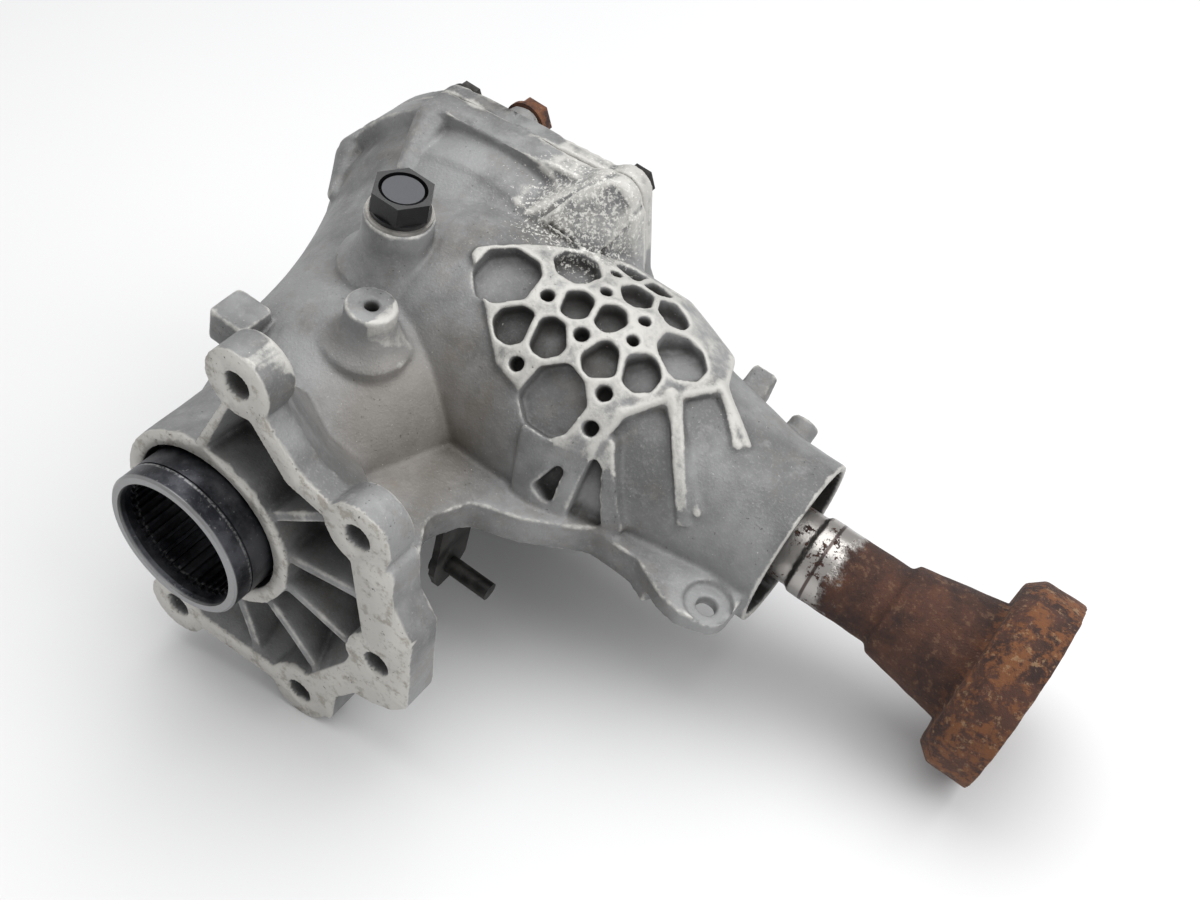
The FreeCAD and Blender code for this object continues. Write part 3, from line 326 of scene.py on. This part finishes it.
def slopeShoulder(points):  # under the corner boss the casting falls away to the dome in one broad slope
    y = points[:, 1] / millimetre
    radius = np.hypot(points[:, 0], points[:, 2]) / millimetre
    angle = np.degrees(np.arctan2(points[:, 2], points[:, 0])) + layTurn
    limit = slope["foot"] + (y - slope["footAt"]) * slope["rise"]
    reached = (y > slope["from"]) & (y < slope["to"]) & (angle > slope["angleFrom"]) & (angle < slope["angleTo"])
    clear = alongOutput(points)[1] > slope["clearOfNose"] * millimetre
    high = clear & reached & (radius > limit) & (radius > slope["least"])
    share = np.where(high, np.maximum(limit, slope["least"]) / np.maximum(radius, 1.0), 1.0)
    points[:, 0] *= share
    points[:, 2] *= share
    return points


# machined places: the gearbox face, the nose's mouth and the two bores
machining = {"faceDepth": 0.8, "mouthFrom": 183.6, "mouthRadius": 40, "outputBore": 35.5, "outputBoreFrom": 160,
             "inputBore": 37.5}


def machinedHousing(points):
    along, radius = alongOutput(points)
    fromInput = np.hypot(points[:, 0], points[:, 2])
    face = points[:, 1] < machining["faceDepth"] * millimetre
    mouth = (along > machining["mouthFrom"] * millimetre) & (radius < machining["mouthRadius"] * millimetre)
    outputBore = (radius < machining["outputBore"] * millimetre) & (along > machining["outputBoreFrom"] * millimetre)
    inputBore = fromInput < machining["inputBore"] * millimetre
    return face, face | mouth | outputBore | inputBore


# numbers kept at each point for the finishes: worn edges, hollows, rib tops, and the insides of the bores, which are
# painted dark as shade
marks = {"edgeRounds": 10, "edge": 0.6, "hollowRounds": 70, "hollow": 2.4, "ribFade": 1.6, "axisHeight": 20,
         "plateFrom": 14, "plateTo": 156, "plateAngles": (-52, 60), "outputBore": 35.2, "outputBoreFrom": 150,
         "outputBoreTo": 184.2, "inputBore": 36.8, "inputBoreFrom": 1.0}


def keepMarks(mesh, points, normals, pairs, face):
    edges = relax(points, pairs, marks["edgeRounds"])
    hollows = relax(edges, pairs, marks["hollowRounds"])
    edge = ((points - edges) * normals).sum(1) / (marks["edge"] * millimetre)
    hollow = ((hollows - points) * normals).sum(1) / (marks["hollow"] * millimetre)
    keep(mesh, "edge", np.clip(edge, -1, 1))
    keep(mesh, "hollow", np.clip(hollow, -1, 1))
    keep(mesh, "machined", face.astype(float))
    along, radius = alongOutput(points)
    low = latticeRadius(along / millimetre) * millimetre - radius
    upward = points[:, 0] * outputUpX + points[:, 2] * outputUpZ - marks["axisHeight"] * millimetre
    turn = np.degrees(np.arctan2(outputOrigin.y - points[:, 1], upward))
    least, most = marks["plateAngles"]
    between = (along > marks["plateFrom"] * millimetre) & (along < marks["plateTo"] * millimetre)
    onPlate = between & (turn > least) & (turn < most)
    keep(mesh, "ribTop", np.where(onPlate, np.clip(1 - low / (marks["ribFade"] * millimetre), 0, 1), 0))
    deep = (along > marks["outputBoreFrom"] * millimetre) & (along < marks["outputBoreTo"] * millimetre)
    outputBore = (radius < marks["outputBore"] * millimetre) & deep
    fromInput = np.hypot(points[:, 0], points[:, 2])
    inputBore = (fromInput < marks["inputBore"] * millimetre) & (points[:, 1] > marks["inputBoreFrom"] * millimetre)
    keep(mesh, "shadedBores", outputBore | inputBore)


# castings: the CAD solid is drawn over with soft cast edges, and keeps its machined faces
housingCast = {"node": "main_housing", "voxel": 0.9 * millimetre, "smoothing": 6, "faces": 150000,
               "waviness": 0.22 * millimetre, "wave": 14 * millimetre}
coverCast = {"node": "side_cover", "voxel": 1.0 * millimetre, "smoothing": 5, "faces": 50000,
             "waviness": 0.18 * millimetre, "wave": 14 * millimetre}
flangeForging = {"node": "output_flange", "voxel": 0.8 * millimetre, "smoothing": 2, "faces": 60000,
                 "waviness": 0.25 * millimetre, "wave": 7 * millimetre}
crispShare = 0.12


def remeshed(name, settings, forms):  # the solid and the forms added to it, under one skin of small faces
    made = bmesh.new()
    made.from_mesh(nodes[settings["node"]].data)
    if forms:
        forms(made)
    rough = bpy.data.meshes.new(name)
    made.to_mesh(rough)
    made.free()
    piece = bpy.data.objects.new(name, rough)
    bpy.context.scene.collection.objects.link(piece)
    voxels = piece.modifiers.new("voxels", "REMESH")
    voxels.mode = "VOXEL"
    voxels.voxel_size = settings["voxel"]
    mesh = meshOf(piece)
    piece.modifiers.clear()
    return piece, mesh


def thinOut(piece, faces):
    thin = piece.modifiers.new("fewer faces", "DECIMATE")
    thin.ratio = min(1.0, faces / (2 * len(piece.data.polygons)))
    piece.data = meshOf(piece)
    piece.modifiers.clear()
    piece.data.shade_smooth()


def casting(name, settings, body, machined=None, forms=None):
    piece, mesh = remeshed(name, settings, forms)
    points = pointsOf(mesh)
    pairs = neighboursIn(mesh)
    crisp = np.zeros(len(points), bool)
    face = crisp
    if machined:
        face, crisp = machined(points)
    points = relax(points, pairs, settings["smoothing"], np.where(crisp, crispShare, 1.0))
    points[face, 1] = 0.0
    if forms:
        points = slopeShoulder(flattenTop(points))
    movePoints(mesh, points)
    normals = normalsOf(mesh)
    keepMarks(mesh, points, normals, pairs, face)
    waves = np.array([noise.noise(Vector(p / settings["wave"])) for p in points])
    lift = waves * settings["waviness"] * np.where(crisp, 0.0, 1.0)
    movePoints(mesh, points + normals * lift[:, None])
    piece.data = mesh
    thinOut(piece, settings["faces"])
    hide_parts(settings["node"])
    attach(piece, body)
    print("casting", name, len(mesh.polygons), "->", len(piece.data.polygons))
    return piece


def paint(piece, material):
    piece.data.materials.clear()
    piece.data.materials.append(material)


# grime is the near-black used both for dirt and for painted shade in hollows and bores
castAlloy = {"dark": (0.125, 0.126, 0.126), "light": (0.27, 0.272, 0.274), "pale": (0.42, 0.42, 0.415),
             "edge": (0.58, 0.57, 0.535), "grimeAndShade": (0.02, 0.018, 0.016), "stain": (0.16, 0.13, 0.095),
             "faced": (0.55, 0.535, 0.5), "pit": (0.05, 0.045, 0.04), "salt": (0.75, 0.74, 0.7)}


def castAlloyFinish(name, colours):
    f = Finish(name)
    clouds = f.step(f.noise(0.05, 4, 0.62), 0.34, 0.66)
    mottle = f.noise(0.008, 6, 0.72)
    grain = f.noise(0.0011, 3, 0.6)
    pits = f.step(f.noise(0.0022, 4, 0.72), 0.62, 0.68)
    occlusionShade = f.occlusionShade(0.02)
    tone = f.mix(clouds, colours["dark"], colours["light"])
    tone = f.mix(f.step(mottle, 0.52, 0.7) * 0.22, tone, colours["pale"])
    tone = f.mix(f.step(grain, 0.5, 0.75) * 0.2, tone, colours["pale"])
    stained = f.step(f.noise(0.03, 5, 0.7), 0.5, 0.62) * f.step(mottle, 0.36, 0.6)
    tone = f.mix(stained * 0.25 + f.near(neckStain, 0.05) * 0.45, tone, colours["stain"])
    ribs = f.stored("ribTop")
    worn = f.step(f.stored("edge") + ribs * 0.45 + (mottle - 0.5) * 1.1, 0.3, 0.75)
    tone = f.mix(worn * 0.75, tone, colours["edge"])
    # hollows and corners darkened toward near-black: partly dirt, partly painted shade from ambient occlusion
    dirtAndShade = f.step(occlusionShade + f.stored("hollow") * 0.25 + (mottle - 0.5) * 0.5, 0.34, 0.8)
    tone = f.mix(dirtAndShade * 0.9, tone, colours["grimeAndShade"])
    specks = f.step(f.noise(0.0016, 3, 0.7), 0.66, 0.7) * f.step(f.noise(0.02, 3, 0.6), 0.48, 0.6)
    tone = f.mix(specks * 0.8, tone, colours["pit"])
    salt = f.step(f.noise(0.0015, 4, 0.75) + f.near(shoulder, 0.045) * 0.16, 0.68, 0.72)
    tone = f.mix(salt * 0.75, tone, colours["salt"])
    # painted shade: the insides of the bores are painted almost black
    tone = f.mix(f.stored("shadedBores") * 0.93, tone, colours["grimeAndShade"])
    faced = f.stored("machined")
    tone = f.mix(faced * 0.9, tone, colours["faced"])
    tone = f.mix(faced * f.step(mottle, 0.5, 0.62) * 0.5, tone, colours["stain"])
    tone = f.mix(faced * pits * 0.9, tone, colours["pit"])
    rough = 0.44 + mottle * 0.22 + dirtAndShade * 0.25
    height = grain * 0.45 + mottle * 0.9 - pits * faced * 0.8 - specks * 0.5
    return f.surface({"Base Color": tone, "Metallic": 0.3 - dirtAndShade * 0.3, "Roughness": rough,
                      "Normal": f.bump(height, 0.0004)})


def steelFinish(name, dark, light, rough):
    f = Finish(name)
    clouds = f.step(f.noise(0.012, 4, 0.6), 0.35, 0.65)
    fine = f.noise(0.0012, 3, 0.6)
    tone = f.mix(clouds, dark, light)
    # painted shade in corners and recesses, from ambient occlusion
    tone = f.mix(f.occlusionShade(0.006) * 0.6, tone, (0.01, 0.01, 0.01))
    return f.surface({"Base Color": tone, "Metallic": 0.9, "Roughness": rough + clouds * 0.12 + fine * 0.08,
                      "Normal": f.bump(fine, 0.00008)})


# the sleeve: dark, cloudy gunmetal with a painted highlight on its lip and a thin painted glint at its groove
sleeveSteel = {"dark": (0.02, 0.021, 0.026), "light": (0.11, 0.112, 0.125), "bright": (0.5, 0.5, 0.5),
               "lip": -18.0 * millimetre, "groove": -9.5 * millimetre}


def sleeveFinish(name, settings):
    f = Finish(name)
    along = f.place((0, 1, 0))
    clouds = f.step(f.noise(0.02, 5, 0.65), 0.36, 0.66)
    fine = f.noise(0.0014, 4, 0.65)
    tone = f.mix(clouds, settings["dark"], settings["light"])
    tone = f.mix(f.step(fine, 0.62, 0.72) * 0.35, tone, settings["bright"])
    # painted highlight on the mouth's lip and painted glint along the groove, the glint broken up by noise
    lip = 1 - f.step(along, settings["lip"] + 0.0006, settings["lip"] + 0.0016)
    grooveGlint = 1 - f.step(abs(along - settings["groove"] + 0.0004), 0.0003, 0.0008)
    worn = f.step(fine, 0.4, 0.6)
    tone = f.mix(lip * 0.5 + grooveGlint * worn * 0.5, tone, settings["bright"])
    # painted shade: the sleeve's corners and recesses darkened almost to black
    tone = f.mix(f.occlusionShade(0.02) * 0.9, tone, (0.006, 0.006, 0.007))
    return f.surface({"Base Color": tone, "Metallic": 0.8, "Roughness": 0.3 + clouds * 0.14 + fine * 0.1,
                      "Normal": f.bump(fine, 0.00012)})


# the output flange: a bright ground band at the seal, then rust on the cone and orange rust on the rim
rustedSteel = {"band": (0.42, 0.4, 0.38), "deep": (0.035, 0.017, 0.014), "brown": (0.085, 0.036, 0.024),
               "orange": (0.2, 0.076, 0.028), "ochre": (0.3, 0.185, 0.1), "bandEnd": 207.0 * millimetre,
               "rimStart": 262.0 * millimetre, "step": 198.5 * millimetre}


def rustFinish(name, settings, neck):
    f = Finish(name)
    patches = f.step(f.noise(0.016, 4, 0.65), 0.36, 0.64)
    fleck = f.noise(0.0024, 5, 0.75)
    grain = f.noise(0.0009, 4, 0.7)
    along = f.place(outputAlong) - outputAlong.dot(outputOrigin)
    tone = f.mix(patches, settings["deep"], settings["brown"])
    outer = f.step(along, settings["rimStart"], settings["rimStart"] + 0.008) if neck else 0.6
    orange = f.step(f.noise(0.01, 5, 0.72) + (fleck - 0.5) * 0.6, 0.44, 0.6)
    tone = f.mix(orange * (0.15 + outer * 0.75), tone, settings["orange"])
    ochre = f.step(f.noise(0.004, 5, 0.75), 0.56, 0.64)
    tone = f.mix(ochre * (0.25 + outer * 0.5), tone, settings["ochre"])
    tone = f.mix(f.step(grain, 0.6, 0.72) * 0.45, tone, settings["ochre"])
    # painted shade in the rust's corners and recesses, from ambient occlusion
    tone = f.mix(f.occlusionShade(0.012) * 0.7, tone, settings["deep"])
    if not neck:
        return f.surface({"Base Color": tone, "Metallic": 0.1, "Roughness": 0.8,
                          "Normal": f.bump(grain + fleck, 0.0005)})
    eaten = f.noise(0.011, 5, 0.72)
    bandEnd = settings["bandEnd"]
    bright = 1 - f.step(along + (eaten - 0.5) * 0.03, bandEnd - 0.003, bandEnd + 0.003)
    bright = bright * (1 - f.step(fleck + (eaten - 0.5) * 1.1, 0.62, 0.68))
    groove = 1 - f.step(abs(along - settings["step"]), 0.0004, 0.001)
    tone = f.mix(bright, tone, settings["band"])
    tone = f.mix(groove * 0.85, tone, settings["deep"])
    rough = 0.78 * (1 - bright) + 0.24 * bright + fleck * 0.12
    return f.surface({"Base Color": tone, "Metallic": 0.1 + bright * 0.85, "Roughness": rough,
                      "Normal": f.bump((grain + fleck) * (1.1 - bright), 0.0007)})


def plainFinish(name, colour, rough, spread=0.3):
    f = Finish(name)
    clouds = f.noise(0.005, 4, 0.6)
    fine = f.noise(0.0008, 2, 0.5)
    tone = f.mix(clouds * spread, colour, tuple(min(1.0, c * 2.2 + 0.02) for c in colour))
    return f.surface({"Base Color": tone, "Metallic": 0.0, "Roughness": rough + clouds * 0.15,
                      "Normal": f.bump(fine, 0.00006)})


housing = casting("housingCasting", housingCast, "housing", machinedHousing, housingForms)
cover = casting("coverCasting", coverCast, "housing", None, coverForms)
flange = casting("flangeForging", flangeForging, "output_shaft")
alloy = castAlloyFinish("castAlloy", castAlloy)
paint(housing, alloy)
paint(cover, alloy)
paint(flange, rustFinish("rustedSteel", rustedSteel, True))
print("castings done")

finishes = {
    "zinc_bolt": steelFinish("darkBolt", (0.025, 0.024, 0.023), (0.11, 0.105, 0.1), 0.42),
    "rusty_bolt": rustFinish("rustyBolt", rustedSteel, False),
    "black_plug": plainFinish("blackPlug", (0.005, 0.005, 0.006), 0.26, 0.12),
    "plug_insert": plainFinish("plugDisc", (0.04, 0.042, 0.048), 0.34),
    "seal_rubber": plainFinish("sealRubber", (0.012, 0.011, 0.011), 0.42),
    "copper_washer": steelFinish("dullWasher", (0.34, 0.33, 0.31), (0.48, 0.46, 0.43), 0.4),
    "bracket_steel": steelFinish("bracketSteel", (0.03, 0.029, 0.028), (0.09, 0.087, 0.083), 0.45),
    "sleeve_steel": sleeveFinish("sleeveSteel", sleeveSteel),
    "shaft_steel": steelFinish("shaftSteel", (0.3, 0.3, 0.3), (0.45, 0.45, 0.44), 0.3),
    "gear_steel": steelFinish("gearSteel", (0.2, 0.2, 0.2), (0.34, 0.34, 0.33), 0.32),
    "bearing_steel": steelFinish("bearingSteel", (0.42, 0.42, 0.42), (0.55, 0.55, 0.54), 0.2),
    "cage_steel": steelFinish("cageSteel", (0.2, 0.2, 0.2), (0.32, 0.31, 0.3), 0.4),
}
for piece in nodes.values():
    slot = piece.data.materials[0].name
    if slot in finishes:
        piece.material_slots[0].material = finishes[slot]
print("finishes done")

# the photograph's view
view = {"at": (0.3545, -0.2602, 0.3962), "right": (0.833, 0.553, 0.0), "ahead": (-0.416, 0.627, -0.658),
        "lens": 44.55, "sensor": 36.0}


def placeCamera(settings):
    ahead = Vector(settings["ahead"]).normalized()
    right = Vector(settings["right"]).normalized()
    up = right.cross(ahead)
    data = bpy.data.cameras.new("camera")
    data.lens = settings["lens"]
    data.sensor_width = settings["sensor"]
    camera = bpy.data.objects.new("camera", data)
    bpy.context.scene.collection.objects.link(camera)
    turned = Matrix((right, up, -ahead)).transposed().to_4x4()
    camera.matrix_world = Matrix.Translation(settings["at"]) @ turned
    bpy.context.scene.camera = camera


placeCamera(view)

table = {"half": 2.6, "colour": (0.735, 0.74, 0.75), "paler": (0.78, 0.78, 0.78)}


def layTable(settings):
    half = settings["half"]
    low = cadBox[0].z
    corners = [(-half, -half, low), (half, -half, low), (half, half, low), (-half, half, low)]
    mesh = bpy.data.meshes.new("table")
    mesh.from_pydata(corners, [], [(0, 1, 2, 3)])
    top = bpy.data.objects.new("table", mesh)
    bpy.context.scene.collection.objects.link(top)
    f = Finish("tableTop")
    patches = f.noise(0.4, 3, 0.5)
    tone = f.mix(patches, settings["colour"], settings["paler"])
    mesh.materials.append(f.surface({"Base Color": tone, "Roughness": 0.7}))


layTable(table)

lampTarget = Vector((0.08, 0.1, 0.0))
lamps = {
    "overhead": {"at": (0.15, 0.45, 1.5), "size": 1.8, "power": 23},
    "window": {"at": (1.3, 0.2, 0.9), "size": 1.0, "power": 9},
}


def hangLamp(name, settings):
    data = bpy.data.lights.new(name, "AREA")
    data.size = settings["size"]
    data.energy = settings["power"]
    lamp = bpy.data.objects.new(name, data)
    bpy.context.scene.collection.objects.link(lamp)
    lamp.location = settings["at"]
    lamp.rotation_euler = (lampTarget - lamp.location).to_track_quat("-Z", "Y").to_euler()


for name, settings in lamps.items():
    hangLamp(name, settings)

roomLight = 0.6


def lightRoom(strength):
    world = bpy.data.worlds.new("room")
    bpy.context.scene.world = world
    world.use_nodes = True
    background = world.node_tree.nodes["Background"]
    background.inputs["Color"].default_value = (1, 1, 1, 1)
    background.inputs["Strength"].default_value = strength


lightRoom(roomLight)
bpy.context.scene.view_settings.view_transform = "Standard"
print("room done")
